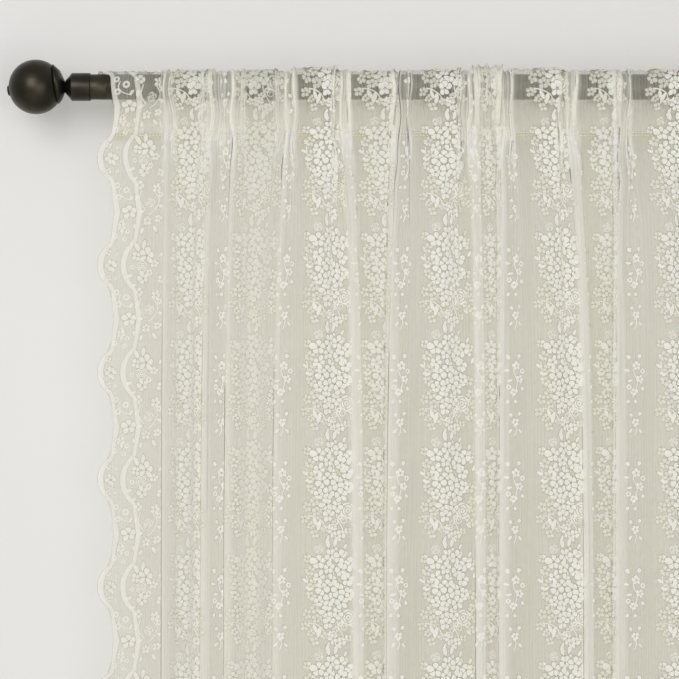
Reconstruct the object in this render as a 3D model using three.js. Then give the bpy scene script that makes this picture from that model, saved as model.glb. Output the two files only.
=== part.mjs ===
// A lace curtain panel gathered on a metal rod with ball finials.
// Millimetres, +Z up, X along the rod, -Y towards the room.
// The origin is on the rod's axis, halfway along the rod.
import * as THREE from 'three';

// Rod: a tube that ends inside the finials' collars
const rodRadius = 12.7;
const rodWall = 1;
const rodBetweenCollars = 795;
const rodInCollar = 14.4;
const seamLineInset = 16; // groove where the tube's end length is screwed on
const seamLineWidth = 0.8;
const seamLineDepth = 0.3;

// Finial: collar, shoulder and neck in one turned piece, a cup, a ball and an end button
const fitGap = 0.3;
const collarRadius = 14;
const collarLength = 18.4;
const collarBore = 14.8;
const collarBevel = 0.4;
const neckRadius = 6;
const neckAt = 25.2; // collar's open end to the neck's narrow face
const ballRadius = 27.4;
const ballPastNeck = 29.3; // neck's narrow face to the ball's centre
const ballDroop = THREE.MathUtils.degToRad(8);
const cupRimAt = 20;
const cupRimRadius = 20.2;
const cupShoulderAt = 25;
const cupShoulderRadius = 15;
const buttonRadius = 5;
const buttonHeight = 2;
const buttonBevel = 0.8;

// Curtain cloth
const clothThickness = 1.2;
const dropLength = 1600; // top of the pocket to the hem
const pocketRadius = 14.7; // middle of the cloth where it wraps the rod
const gatherRise = 2; // how far the gathers' tops stand above the pocket
const pocketStitchZ = -45;
const openingLength = 150; // drop over which the gathers open into the hanging folds
const curtainLeft = -392;
const lobePitch = 107;
const firstLobeZ = -71.5;
const lobeRadius = 24;
const lobeHalf = 21.5; // half the height of a lobe's round part
const lobeSlant = 0.17; // slope of the edge between two lobes' round parts
const edgeMargin = 4; // least cloth between a notch and the next column
const pleatTurn = 0.08; // share of a pleat's cloth that turns round each of its creases

// One row for each fold, from the left edge to the right:
// cloth   flat width of cloth in the fold
// onRod   width it takes on the rod
// hanging width it takes once it hangs free
// side    1 swings out to the room, -1 back to the wall
// rise    how far its gathers stand off the rod
// pleat   share of the cloth folded back at each side of a flat pleat, 0 for a plain fold
const folds = [
  { cloth: 66, onRod: 64, hanging: 61, side: 1, rise: 0.5, pleat: 0 },
  { cloth: 22, onRod: 11, hanging: 11, side: 1, rise: 3, pleat: 0 },
  { cloth: 44, onRod: 34, hanging: 30, side: 1, rise: 0.8, pleat: 0 },
  { cloth: 28, onRod: 13, hanging: 10, side: 1, rise: 3.5, pleat: 0 },
  { cloth: 16, onRod: 9, hanging: 14, side: -1, rise: 1, pleat: 0 },
  { cloth: 28, onRod: 13, hanging: 10, side: 1, rise: 3.5, pleat: 0 },
  { cloth: 50, onRod: 40, hanging: 38, side: -1, rise: 0.8, pleat: 0 },
  { cloth: 28, onRod: 14, hanging: 10, side: 1, rise: 3.5, pleat: 0 },
  { cloth: 72, onRod: 40, hanging: 70, side: 1, rise: 1.2, pleat: 0 },
  { cloth: 30, onRod: 15, hanging: 13, side: 1, rise: 3.5, pleat: 0 },
  { cloth: 86, onRod: 44, hanging: 22, side: -1, rise: 1.5, pleat: 0.21 },
  { cloth: 22, onRod: 14, hanging: 7, side: 1, rise: 3, pleat: 0 },
  { cloth: 88, onRod: 54, hanging: 82, side: 1, rise: 1, pleat: 0 },
  { cloth: 30, onRod: 15, hanging: 11, side: 1, rise: 3.5, pleat: 0 },
  { cloth: 70, onRod: 22, hanging: 14, side: -1, rise: 2.5, pleat: 0.21 },
  { cloth: 24, onRod: 11, hanging: 6, side: 1, rise: 3.5, pleat: 0 },
  { cloth: 80, onRod: 51, hanging: 77, side: 1, rise: 1, pleat: 0 },
  { cloth: 28, onRod: 15, hanging: 11, side: 1, rise: 3.5, pleat: 0 },
  { cloth: 82, onRod: 39, hanging: 21, side: -1, rise: 1.5, pleat: 0.21 },
  { cloth: 22, onRod: 13, hanging: 7, side: 1, rise: 3, pleat: 0 },
  { cloth: 94, onRod: 55, hanging: 90, side: 1, rise: 1, pleat: 0 },
  { cloth: 30, onRod: 15, hanging: 12, side: 1, rise: 4, pleat: 0 },
  { cloth: 80, onRod: 38, hanging: 20, side: -1, rise: 1.5, pleat: 0.21 },
  { cloth: 24, onRod: 12, hanging: 7, side: 1, rise: 3, pleat: 0 },
  { cloth: 84, onRod: 57, hanging: 74, side: 1, rise: 1, pleat: 0 },
  { cloth: 26, onRod: 18, hanging: 13, side: 1, rise: 3, pleat: 0 },
  { cloth: 66, onRod: 62, hanging: 61, side: 1, rise: 0.5, pleat: 0 },
];

// Levels at which the folds' section is drawn, below the pocket's stitch line
const levels = [0, 34, 84, 160, 300, 620].map((drop) => pocketStitchZ - drop);
const hemZ = pocketRadius + clothThickness / 2 + gatherRise - dropLength;
levels.push(hemZ);

const edgeStepsPerLobe = 8;
const wrapSteps = 5;
const ridgeSteps = 6;
const nearlyFlat = 0.7; // a fold that keeps more of its width than this has columns a flat step apart
const flatStep = 23;
const turnedSides = 32;
const buttonSides = 16;
const cupRings = 6;
const ballRings = 13;

const lace = new THREE.MeshStandardMaterial({ color: 0xd3d1c2, roughness: 0.9, metalness: 0 });
const blackMetal = new THREE.MeshStandardMaterial({ color: 0x25221b, roughness: 0.42, metalness: 0.85 });

// Tangent of a hanging fold at a share of its cloth, before it is scaled to the fold's width
function foldShape(fold, share) {
  if (fold.pleat === 0) return Math.sin(2 * Math.PI * share);
  const foldedBack = (along) => {
    const turnedIn = THREE.MathUtils.smoothstep(along, 0, pleatTurn);
    return turnedIn * (1 - THREE.MathUtils.smoothstep(along, fold.pleat, fold.pleat + pleatTurn));
  };
  return foldedBack(share) - foldedBack(1 - share);
}

// Share of its length that a fold keeps as width, from its tangent across the cloth
function widthShare(tiltAt) {
  const samples = 96;
  let sum = 0;
  for (let i = 0; i < samples; i += 1) sum += Math.cos(tiltAt((i + 0.5) / samples));
  return sum / samples;
}

// Scale of a fold's tangent at which the hanging cloth is as narrow as wanted
function steepnessFor(fold) {
  let low = 0;
  let high = Math.PI;
  for (let i = 0; i < 40; i += 1) {
    const middle = (low + high) / 2;
    if (widthShare((share) => middle * foldShape(fold, share)) > fold.hanging / fold.cloth) low = middle;
    else high = middle;
  }
  return low;
}

// How far the gathers have opened into folds at a height: 0 on the rod, 1 far below it
function openness(z) {
  const drop = Math.max(0, pocketStitchZ - z);
  return 1 - Math.exp(-drop / openingLength);
}

const hangingSteepness = folds.map(steepnessFor);

// The folds' line in plan at a height, as a function of the distance u across the flat cloth.
// Each fold is a curve whose tangent starts and ends along the rod, so the folds join smoothly.
const plans = new Map();
function planAt(z) {
  if (plans.has(z)) return plans.get(z);
  const open = openness(z);
  let left = curtainLeft;
  let flat = 0;
  const rows = folds.map((fold, i) => {
    const width = THREE.MathUtils.lerp(fold.onRod, fold.hanging, open);
    const gathered = Math.min(1, (Math.PI * fold.rise) / fold.onRod);
    const hanging = fold.side * hangingSteepness[i];
    const tiltAt = (share) =>
      THREE.MathUtils.lerp(gathered * Math.sin(2 * Math.PI * share), hanging * foldShape(fold, share), open);
    const row = { flat, left, tiltAt, cloth: fold.cloth, length: width / widthShare(tiltAt) };
    flat += fold.cloth;
    left += width;
    return row;
  });
  const plan = (u) => {
    const row = rows.findLast((candidate) => u >= candidate.flat - 1e-6);
    const share = (u - row.flat) / row.cloth;
    const steps = 60;
    const step = (row.length * share) / steps;
    let x = row.left;
    let out = 0;
    for (let i = 0; i < steps; i += 1) {
      const tilt = row.tiltAt((share * (i + 0.5)) / steps);
      x += step * Math.cos(tilt);
      out += step * Math.sin(tilt);
    }
    return { x, out, tilt: row.tiltAt(share) };
  };
  plans.set(z, plan);
  return plan;
}

const clothWidth = folds.reduce((sum, fold) => sum + fold.cloth, 0);

// How far the scalloped edge stands in from its outermost line at a height
function scallop(z) {
  const place = (z - firstLobeZ) / lobePitch;
  const away = Math.abs(place - Math.round(place)) * lobePitch;
  const near = Math.min(away, lobeHalf);
  return lobeRadius - Math.sqrt(lobeRadius ** 2 - near ** 2) + lobeSlant * (away - near);
}

// The flat positions of the columns between the two scalloped edges. A pleat has them at its
// creases, another fold has them evenly.
function innerColumns() {
  const columns = [];
  let start = 0;
  for (const fold of folds) {
    const steps = fold.hanging > nearlyFlat * fold.cloth ? Math.ceil(fold.cloth / flatStep) : ridgeSteps;
    let shares = Array.from({ length: steps }, (_, k) => k / steps);
    if (fold.pleat > 0) {
      const half = pleatTurn / 2;
      const creases = [half, 2 * half, fold.pleat, fold.pleat + half, fold.pleat + 2 * half];
      shares = [0, ...creases, 0.5, ...creases.map((share) => 1 - share).reverse()];
    }
    columns.push(...shares.map((share) => start + fold.cloth * share));
    start += fold.cloth;
  }
  const margin = scallop(firstLobeZ + lobePitch / 2) + edgeMargin;
  return columns.filter((u) => u > margin && u < clothWidth - margin);
}

// Corners of the pocket's wrap round the rod, from its front tangent over the top to the back
const tangentAngle = Math.PI - Math.acos(pocketRadius / -pocketStitchZ);
const wrapAngles = Array.from({ length: wrapSteps + 1 }, (_, i) => tangentAngle * (1 - (2 * i) / wrapSteps));

const vertices = [];
function vertex(x, y, z) {
  vertices.push(x, y, z);
  return vertices.length / 3 - 1;
}

// One column of cloth: its front and back from the hem up to the stitch line, the outside of its
// wrap over the rod, and the inner loop round the rod. Each corner has a key that grows along it.
function column(flatAt, zs) {
  const front = [];
  const back = [];
  const half = clothThickness / 2;
  for (const z of zs) {
    const at = planAt(z)(flatAt(z));
    const offX = half * Math.sin(at.tilt);
    const offY = half * Math.cos(at.tilt);
    const key = (z - hemZ) / (pocketStitchZ - hemZ);
    front.push({ key, index: vertex(at.x - offX, -at.out - offY, z) });
    back.push({ key, index: vertex(at.x + offX, -at.out + offY, z) });
  }
  const wrapOut = [front.at(-1)];
  const wrapIn = [];
  for (const [i, angle] of wrapAngles.entries()) {
    const z = pocketRadius * Math.cos(angle);
    const at = planAt(pocketStitchZ)(flatAt(z));
    const ring = (radius) => vertex(at.x, -radius * Math.sin(angle), radius * Math.cos(angle));
    const key = 1 + (i + 1) / (wrapAngles.length + 1);
    wrapOut.push({ key, index: ring(pocketRadius + at.out + half) });
    wrapIn.push({ key, index: ring(pocketRadius + at.out - half) });
  }
  const seamAt = planAt(pocketStitchZ)(flatAt(pocketStitchZ));
  const inCorner = half / Math.sin(Math.asin(pocketRadius / -pocketStitchZ));
  const bottom = { key: 1, index: vertex(seamAt.x, -seamAt.out, pocketStitchZ + inCorner) };
  wrapOut.push({ key: 2, index: back.at(-1).index });
  return { front, back, wrapOut, wrapIn: [bottom, ...wrapIn, { key: 2, index: bottom.index }] };
}

const triangles = [];
function triangle(a, b, c, flip = false) {
  if (a !== b && b !== c && c !== a) triangles.push(a, ...(flip ? [c, b] : [b, c]));
}

// Joins two chains of corners, always stepping along the one whose next corner comes first
function zip(left, right, flip) {
  let i = 0;
  let j = 0;
  while (i < left.length - 1 || j < right.length - 1) {
    const nextLeft = i < left.length - 1 ? left[i + 1].key : Infinity;
    const nextRight = j < right.length - 1 ? right[j + 1].key : Infinity;
    if (nextLeft <= nextRight) {
      triangle(left[i].index, right[j].index, left[i + 1].index, flip);
      i += 1;
    } else {
      triangle(left[i].index, right[j].index, right[j + 1].index, flip);
      j += 1;
    }
  }
}

// Closes a side edge: the strip below the pocket and the ring round it
function closeEdge(edge, flip) {
  const quad = (a, b, c, d) => {
    triangle(a, b, c, flip);
    triangle(a, c, d, flip);
  };
  for (let k = 0; k < edge.front.length - 1; k += 1) {
    const low = [edge.front[k].index, edge.back[k].index];
    const high = [edge.front[k + 1].index, edge.back[k + 1].index];
    quad(low[0], high[0], high[1], low[1]);
  }
  for (let k = 0; k < edge.wrapOut.length - 1; k += 1) {
    const [a, b] = [edge.wrapOut[k].index, edge.wrapOut[k + 1].index];
    const [c, d] = [edge.wrapIn[k + 1].index, edge.wrapIn[k].index];
    quad(a, b, c, d);
  }
  triangle(edge.front.at(-1).index, edge.wrapIn[0].index, edge.back.at(-1).index, flip);
}

// Heights from the hem up to the stitch line, spaced evenly either side of a middle
function heightsAbout(middleZ, spacing, fixed) {
  const heights = [...fixed];
  const margin = spacing / 3;
  const lowest = middleZ + spacing * Math.ceil((hemZ + margin - middleZ) / spacing);
  for (let z = lowest; z < pocketStitchZ - margin; z += spacing) {
    if (fixed.every((other) => Math.abs(other - z) > 1)) heights.push(z);
  }
  return heights.sort((a, b) => a - b);
}

function curtainGeometry() {
  const edgeZs = heightsAbout(firstLobeZ, lobePitch / edgeStepsPerLobe, [hemZ, pocketStitchZ]);
  const notchZs = heightsAbout(firstLobeZ - lobePitch / 2, lobePitch, levels);
  const innerZs = [...levels].reverse();
  const inner = innerColumns();
  const columns = [
    column((z) => scallop(z), edgeZs),
    ...inner.map((u, i) => column(() => u, i === 0 || i === inner.length - 1 ? notchZs : innerZs)),
    column((z) => clothWidth - scallop(z), edgeZs),
  ];
  for (let i = 0; i < columns.length - 1; i += 1) {
    const [here, next] = [columns[i], columns[i + 1]];
    zip(here.front, next.front, false);
    zip(here.back, next.back, true);
    zip(here.wrapOut, next.wrapOut, false);
    zip(here.wrapIn, next.wrapIn, true);
    const [a, b] = [here.back[0].index, next.back[0].index];
    const [c, d] = [next.front[0].index, here.front[0].index];
    triangle(a, b, c);
    triangle(a, c, d);
  }
  closeEdge(columns[0], false);
  closeEdge(columns.at(-1), true);
  const geometry = new THREE.BufferGeometry();
  geometry.setAttribute('position', new THREE.Float32BufferAttribute(vertices, 3));
  geometry.setIndex(triangles);
  return geometry;
}

// Turns a profile of [radius, distance along X] corners round the X axis
function turned(profile, segments) {
  const points = profile.map(([radius, along]) => new THREE.Vector2(radius, along));
  return new THREE.LatheGeometry(points, segments).rotateZ(-Math.PI / 2);
}

function arc(radius, from, to, steps) {
  return Array.from({ length: steps + 1 }, (_, i) => {
    const angle = THREE.MathUtils.lerp(from, to, i / steps);
    return [radius * Math.sin(angle), radius * Math.cos(angle)];
  });
}

function rodGeometry() {
  const end = rodBetweenCollars / 2 + rodInCollar;
  const inside = rodRadius - rodWall;
  const seam = rodBetweenCollars / 2 - seamLineInset;
  const half = seamLineWidth / 2;
  const groove = (at) => [
    [rodRadius, at - half],
    [rodRadius - seamLineDepth, at],
    [rodRadius, at + half],
  ];
  const profile = [
    [inside, -end],
    [rodRadius, -end],
    ...groove(-seam),
    ...groove(seam),
    [rodRadius, end],
    [inside, end],
    [inside, -end],
  ];
  return turned(profile, turnedSides);
}

// The finial's pieces lie along +X from the collar's open end at x = 0
function neckGeometry() {
  const bore = rodRadius + fitGap;
  return turned(
    [
      [0, collarBore],
      [bore, collarBore],
      [bore, 0],
      [collarRadius - collarBevel, 0],
      [collarRadius, collarBevel],
      [collarRadius, collarLength - collarBevel],
      [collarRadius - collarBevel, collarLength],
      [neckRadius, neckAt],
      [0, neckAt],
    ],
    turnedSides,
  );
}

// Cup round the ball's inner side. Its distances run from the ball's centre towards the collar,
// and its rim follows the ball's droop while its narrow end stays square to the neck.
function cupGeometry() {
  const seat = ballRadius + fitGap;
  const end = ballPastNeck - fitGap;
  const rimAngle = Math.acos(cupRimAt / seat);
  const outside = [
    [cupRimRadius, cupRimAt],
    [cupShoulderRadius, cupShoulderAt],
    [neckRadius, end],
    [0, end],
  ];
  const geometry = turned([...arc(seat, 0, rimAngle, cupRings), ...outside], turnedSides);
  const position = geometry.getAttribute('position');
  const corner = new THREE.Vector3();
  const axis = new THREE.Vector3(0, 1, 0);
  for (let i = 0; i < position.count; i += 1) {
    corner.fromBufferAttribute(position, i);
    const share = THREE.MathUtils.clamp((end - corner.x) / (end - cupRimAt), 0, 1);
    corner.applyAxisAngle(axis, -ballDroop * share);
    position.setXYZ(i, corner.x, corner.y, corner.z);
  }
  return geometry;
}

function ballGeometry() {
  const flat = Math.asin(buttonRadius / ballRadius);
  const side = arc(ballRadius, Math.PI - flat, Math.PI / ballRings, ballRings - 1);
  return turned([[0, -ballRadius * Math.cos(flat)], ...side, [0, ballRadius]], turnedSides);
}

function buttonGeometry() {
  const seat = -Math.sqrt(ballRadius ** 2 - buttonRadius ** 2) - fitGap;
  const face = seat - buttonHeight;
  const profile = [
    [0, face],
    [buttonRadius - buttonBevel, face],
    [buttonRadius, face + buttonBevel],
    [buttonRadius, seat],
    [0, seat],
  ];
  return turned(profile, buttonSides);
}

function piece(name, geometry, material) {
  const mesh = new THREE.Mesh(geometry, material.clone());
  mesh.name = name;
  return mesh;
}

// A finial at one end of the rod, its ball drooping a little on the neck
function finial(end) {
  const group = new THREE.Group();
  group.add(piece(`collar_${end}`, neckGeometry(), blackMetal));
  const head = new THREE.Group();
  head.position.x = neckAt + ballPastNeck;
  head.rotation.z = Math.PI;
  head.add(piece(`cup_${end}`, cupGeometry(), blackMetal));
  const ball = new THREE.Group();
  ball.rotation.y = -ballDroop;
  ball.add(piece(`ball_${end}`, ballGeometry(), blackMetal));
  ball.add(piece(`button_${end}`, buttonGeometry(), blackMetal));
  head.add(ball);
  group.add(head);
  return group;
}

const curtainRod = new THREE.Group();
curtainRod.add(piece('curtain_panel', curtainGeometry(), lace));
curtainRod.add(piece('rod', rodGeometry(), blackMetal));

const right = finial('right');
right.position.x = rodBetweenCollars / 2;
curtainRod.add(right);

const left = finial('left');
left.position.x = -rodBetweenCollars / 2;
left.rotation.z = Math.PI;
curtainRod.add(left);

export default curtainRod;
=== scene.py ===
import math
import random

import bpy
import numpy as np
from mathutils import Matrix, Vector


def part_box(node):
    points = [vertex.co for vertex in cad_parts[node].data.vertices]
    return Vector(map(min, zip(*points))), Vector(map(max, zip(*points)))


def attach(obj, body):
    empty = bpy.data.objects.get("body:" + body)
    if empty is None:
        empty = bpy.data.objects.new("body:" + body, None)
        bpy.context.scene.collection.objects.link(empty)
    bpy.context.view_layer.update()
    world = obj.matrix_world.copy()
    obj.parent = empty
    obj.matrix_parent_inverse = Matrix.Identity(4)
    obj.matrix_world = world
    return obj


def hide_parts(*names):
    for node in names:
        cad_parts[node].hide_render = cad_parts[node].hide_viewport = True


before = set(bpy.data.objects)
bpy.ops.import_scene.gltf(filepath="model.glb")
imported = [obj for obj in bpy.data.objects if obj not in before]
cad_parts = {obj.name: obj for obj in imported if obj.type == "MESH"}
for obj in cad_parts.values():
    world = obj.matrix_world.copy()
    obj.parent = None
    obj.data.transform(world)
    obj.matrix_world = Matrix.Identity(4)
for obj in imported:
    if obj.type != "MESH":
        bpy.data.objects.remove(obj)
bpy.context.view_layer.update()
mm = 0.001


# How the cloth hangs. One row for each fold, left to right, in mm: flat width of cloth, width on
# the rod, width hanging free, the way it swings (1 to the room, -1 to the wall), gathers it makes
# on the rod, how far they bunch up at the fold's sides, and whether it hangs as a wave (0), as one
# flat pleat (1) or as a pair of pleats that face each other (2)
drape = {
    "folds": [
        (66, 64, 61, 1, 6, 0.6, 0),
        (22, 11, 11, 1, 2, 0, 1),
        (44, 34, 30, 1, 5, 0.7, 0),
        (28, 13, 10, 1, 3, 0, 1),
        (16, 9, 14, -1, 2, 0, 0),
        (28, 13, 10, 1, 3, 0, 1),
        (50, 40, 38, -1, 6, 0.8, 0),
        (28, 14, 10, 1, 3, 0, 1),
        (72, 40, 70, 1, 7, 0.85, 0),
        (30, 15, 13, 1, 3, 0, 1),
        (86, 44, 22, -1, 9, 0.85, 2),
        (22, 14, 7, 1, 3, 0, 1),
        (88, 54, 82, 1, 9, 0.85, 0),
        (30, 15, 11, 1, 3, 0, 1),
        (70, 22, 14, -1, 6, 0.5, 2),
        (24, 11, 6, 1, 3, 0, 1),
        (80, 51, 77, 1, 7, 0.85, 0),
        (28, 15, 11, 1, 3, 0, 1),
        (82, 39, 21, -1, 9, 0.85, 2),
        (22, 13, 7, 1, 3, 0, 1),
        (94, 55, 90, 1, 9, 0.85, 0),
        (30, 15, 12, 1, 3, 0, 1),
        (80, 38, 20, -1, 7, 0.8, 2),
        (24, 12, 7, 1, 3, 0, 1),
        (84, 57, 74, 1, 7, 0.85, 0),
        (26, 18, 13, 1, 3, 0, 1),
        (66, 62, 61, 1, 6, 0.6, 0),
    ],
    "pleatTurn": 4,       # cloth that turns round a pleat's crease
    "pleatTilt": 166,     # how far a pleat's cloth is folded back, in degrees
    "pleatOnRod": 0.5,    # share of a pleat's fullness that is already pleated on the rod
    "leftOnRod": -392,
    "leftHanging": -392,
    "bunchFrom": 0.16, "bunchOver": 0.12,
    "opening": 150,       # drop over which the gathers open into the hanging folds
    "stitchZ": -45,
    "sleeveRadius": 14.4,
    "blend": 16,          # cloth over which the sleeve turns out of the stitch line
    "clearOfRod": 12,     # cloth over which the sleeve's gathers come to stand outwards only
    "seamTurn": 9,        # allowance hanging behind the stitch line
    "seamBehind": 0.8,
    "waviness": 0.55,     # soft unevenness of the hanging cloth
    "layerReach": 1.5,    # how far to each side layers of cloth are counted
    "layerBlur": 2, "ribBlur": 1, "ribPower": 0.7,
    "drift": (0.05, 0.03), "driftSeed": 5,     # how unevenly the gathers are spread
    "step": 0.5,          # the plan's spacing across
    "levels": ((0, 5), (100, 12), (400, 30)),     # and down, from each drop on
    "turnSteps": 65, "scaleSteps": 120, "scaleReach": 4,
}
# Soft waves of the hanging cloth, and how far the gathers wander sideways on the rod
waver = {"seed": 11, "count": 9, "across": (0.05, 0.22), "down": (-0.012, 0.012), "start": (0, 6.28),
         "size": (0.3, 1), "whole": 3, "fadeIn": 120}
sway = {"seed": 12, "count": 6, "across": (0.04, 0.16), "down": (0.04, 0.14), "start": (0, 6.28),
        "whole": 2, "reach": 1.1, "fadeOut": 110, "sideMargin": 30}
folds = drape["folds"]
clothWidth = sum(fold[0] for fold in folds)
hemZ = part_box("curtain_panel")[0].z / mm
dropBelowStitch = drape["stitchZ"] - hemZ

# Scalloped edge, and where the lace repeat sits on the flat cloth
edge = {"pitch": 107, "firstBulgeZ": -71.5, "lobeRadius": 24, "lobeHalf": 21.5, "slant": 0.17}
repeat = {"across": 108, "firstAcross": 120, "down": 107, "firstDown": 31, "columns": 11, "spareRows": 2,
          "soft": (0, 3, 5, 7, 9), "faint": (1,)}     # columns drawn in paler tones, with lighter outlines


# Flat cloth to hanging cloth

def openness(drop):
    return 1 - math.exp(-max(0, drop) / drape["opening"])


def smooth(value):
    value = np.clip(value, 0, 1)
    return value * value * (3 - 2 * value)


pleatTilt = math.radians(drape["pleatTilt"])
foldedCos = math.cos(pleatTilt)
turnCos = float(np.cos(pleatTilt * smooth(np.linspace(0, 1, drape["turnSteps"]))).mean())


def pleatShape(share, pleats, turn, kept):
    # tangent of cloth laid in flat pleats so that it keeps a share of its width
    if pleats == 1:
        plain = (kept - (1 - 2 * turn) * foldedCos - 2 * turn * turnCos) / (2 * (1 - foldedCos))
        return smooth((share - plain) / turn) * (1 - smooth((share - 1 + plain + turn) / turn))
    back = (1 - kept - 2 * turn * (1 + foldedCos) + 4 * turn * turnCos) / (2 * (1 - foldedCos))

    def foldedBack(along):
        return smooth(along / turn) * (1 - smooth((along - back) / turn))
    return foldedBack(share) - foldedBack(1 - share)


def gatherShape(share, gathers, bunch, drift):
    # tangent of the small gathers, which bunch up at the fold's sides
    fromSide = np.minimum(share, 1 - share)
    flatMiddle = smooth((fromSide - drape["bunchFrom"]) / drape["bunchOver"])
    uneven = share + drift[0] * np.sin(2 * np.pi * share) + drift[1] * np.sin(4 * np.pi * share)
    return np.sin(2 * np.pi * gathers * uneven) * (1 - bunch * flatMiddle)


def fitScale(base, shape, wanted):
    # the smallest scale of the shape at which the folded cloth is as narrow as wanted
    scales = np.linspace(0, drape["scaleReach"] / np.sqrt(np.mean(shape ** 2)), drape["scaleSteps"])
    shares = np.cos(base + np.outer(scales, shape)).mean(1)
    after = int(np.argmax(shares <= wanted)) if (shares <= wanted).any() else int(np.argmin(shares))
    before = max(after - 1, 0)
    step = (shares[before] - wanted) / max(shares[before] - shares[after], 1e-6)
    return scales[before] + min(max(step, 0), 1) * (scales[after] - scales[before])


def planRow(drop, step):
    # the cloth's line in plan at one height: x, distance out to the room, tangent
    openAmount = openness(drop)
    left = (1 - openAmount) * drape["leftOnRod"] + openAmount * drape["leftHanging"]
    xs, outs, tilts = [np.array([left])], [np.array([0.0])], [np.array([0.0])]
    for (flat, onRod, hanging, side, gathers, bunch, pleats), drift in zip(folds, drifts):
        count = int(round(flat / step))
        share = (np.arange(count) + 0.5) / count
        kept = ((1 - openAmount) * onRod + openAmount * hanging) / flat
        tight = gatherShape(share, gathers, bunch, drift)
        if pleats:
            pleated = drape["pleatOnRod"] * (1 - openAmount) + openAmount
            shape = pleatShape(share, pleats, drape["pleatTurn"] / flat, 1 - (1 - kept) * pleated)
            base, shape = side * pleatTilt * shape, tight * (1 - np.abs(shape))
        else:
            base, shape = 0, (1 - openAmount) * tight + openAmount * side * np.sin(2 * np.pi * share)
        tilt = base + fitScale(base, shape, kept) * shape
        xs.append(xs[-1][-1] + np.cumsum(np.cos(tilt)) * step)
        out = np.cumsum(np.sin(tilt)) * step
        out -= out[-1] * (np.arange(count) + 1) / count
        outs.append(out)
        tilts.append(tilt)
    return np.concatenate(xs), np.concatenate(outs), np.concatenate(tilts)


driftRandom = random.Random(drape["driftSeed"])
drifts = [[driftRandom.uniform(-reach, reach) for reach in drape["drift"]] for _ in folds]
planStep = drape["step"]
levelEnds = [first for first, _ in drape["levels"][1:]] + [dropBelowStitch + drape["levels"][-1][1]]
planDrops = np.concatenate([np.arange(first, end, float(spacing))
                            for (first, spacing), end in zip(drape["levels"], levelEnds)])
planRows = [planRow(drop, planStep) for drop in planDrops]
planX, planOut, planTilt = (np.array([row[i] for row in planRows]) for i in range(3))


def blurred(row, reach):
    width = int(reach / planStep)
    padded = np.pad(row, width, mode="edge")
    return np.convolve(padded, np.ones(width) / width, mode="same")[width:-width]


def layersAt(xs):
    # how many layers of cloth the room sees over each other along one row
    inOrder = np.sort(xs)
    reach = drape["layerReach"]
    count = np.searchsorted(inOrder, xs + reach) - np.searchsorted(inOrder, xs - reach)
    return np.maximum(count * planStep / (2 * reach), 1)


planLayers = np.array([blurred(1 - 1 / layersAt(row), drape["layerBlur"]) for row in planX])
planRibs = 1 - np.abs(np.cos(planTilt)) ** drape["ribPower"]
planRibs = np.array([blurred(row, drape["ribBlur"]) for row in planRibs])

waveRandom = random.Random(waver["seed"])
waves = [[waveRandom.uniform(*waver[part]) for part in ("across", "down", "start", "size")]
         for _ in range(waver["count"])]


def unevenness(u, drop):
    total = sum(size * np.sin(across * u + down * drop + start) for across, down, start, size in waves)
    return drape["waviness"] * total / waver["whole"] * np.clip(drop / waver["fadeIn"], 0, 1)


swayRandom = random.Random(sway["seed"])
sways = [(swayRandom.uniform(*sway["across"]), swayRandom.uniform(*sway["down"]) * swayRandom.choice((-1, 1)),
          swayRandom.uniform(*sway["start"])) for _ in range(sway["count"])]


def sideways(u, v):
    # gathers are not straight: a small wandering across the cloth's width
    total = sum(np.sin(across * u + down * v + start) for across, down, start in sways)
    fade = 1 - smooth(np.maximum(v, 0) / sway["fadeOut"])
    side = smooth(u / sway["sideMargin"]) * smooth((clothWidth - u) / sway["sideMargin"])
    return sway["reach"] * total / sway["whole"] * fade * side


def lookUp(table, u, drop):
    # reads a plan table between its rows and columns, and stops just short of the last one
    row = np.clip(np.searchsorted(planDrops, drop, side="right") - 1, 0, len(planDrops) - 2)
    between = np.clip((drop - planDrops[row]) / (planDrops[row + 1] - planDrops[row]), 0, 1)
    place = np.clip(u / planStep, 0, table.shape[1] - 1.001)
    column = place.astype(int)
    share = place - column
    upper = table[row, column] * (1 - share) + table[row, column + 1] * share
    lower = table[row + 1, column] * (1 - share) + table[row + 1, column + 1] * share
    return upper * (1 - between) + lower * between


sleeveReach = -drape["stitchZ"]
sleeveStraight = math.sqrt(sleeveReach ** 2 - drape["sleeveRadius"] ** 2)
sleeveTangent = math.acos(drape["sleeveRadius"] / sleeveReach)
sleeveArc = (2 * math.pi - 2 * sleeveTangent) * drape["sleeveRadius"]
sleeveLength = 2 * sleeveStraight + sleeveArc
clothTop = -sleeveLength - drape["seamTurn"]


def sleeveSection(along):
    # the sleeve's outline round the rod, from the stitch line up the front and down the back
    radius = drape["sleeveRadius"]
    turn = sleeveTangent + np.clip((along - sleeveStraight) / radius, 0, 2 * math.pi - 2 * sleeveTangent)
    out = np.column_stack([-np.sin(turn), -np.cos(turn)])
    point = out * radius
    up = np.array([-math.cos(sleeveTangent), math.sin(sleeveTangent)])
    front = along < sleeveStraight
    back = along > sleeveStraight + sleeveArc
    point[front] = np.array([0, -sleeveReach]) + np.outer(along[front], up)
    down = np.array([-up[0], up[1]])
    point[back] = np.array([0, -sleeveReach]) + np.outer(sleeveLength - along[back], down)
    level = np.where(along < sleeveLength / 2, -1.0, 1.0)
    near = np.minimum(along, sleeveLength - along)
    share = smooth(near / drape["blend"])[:, None]
    normal = out * share + np.column_stack([level, np.zeros_like(level)]) * (1 - share)
    normal /= np.linalg.norm(normal, axis=1)[:, None]
    return point, normal


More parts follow.
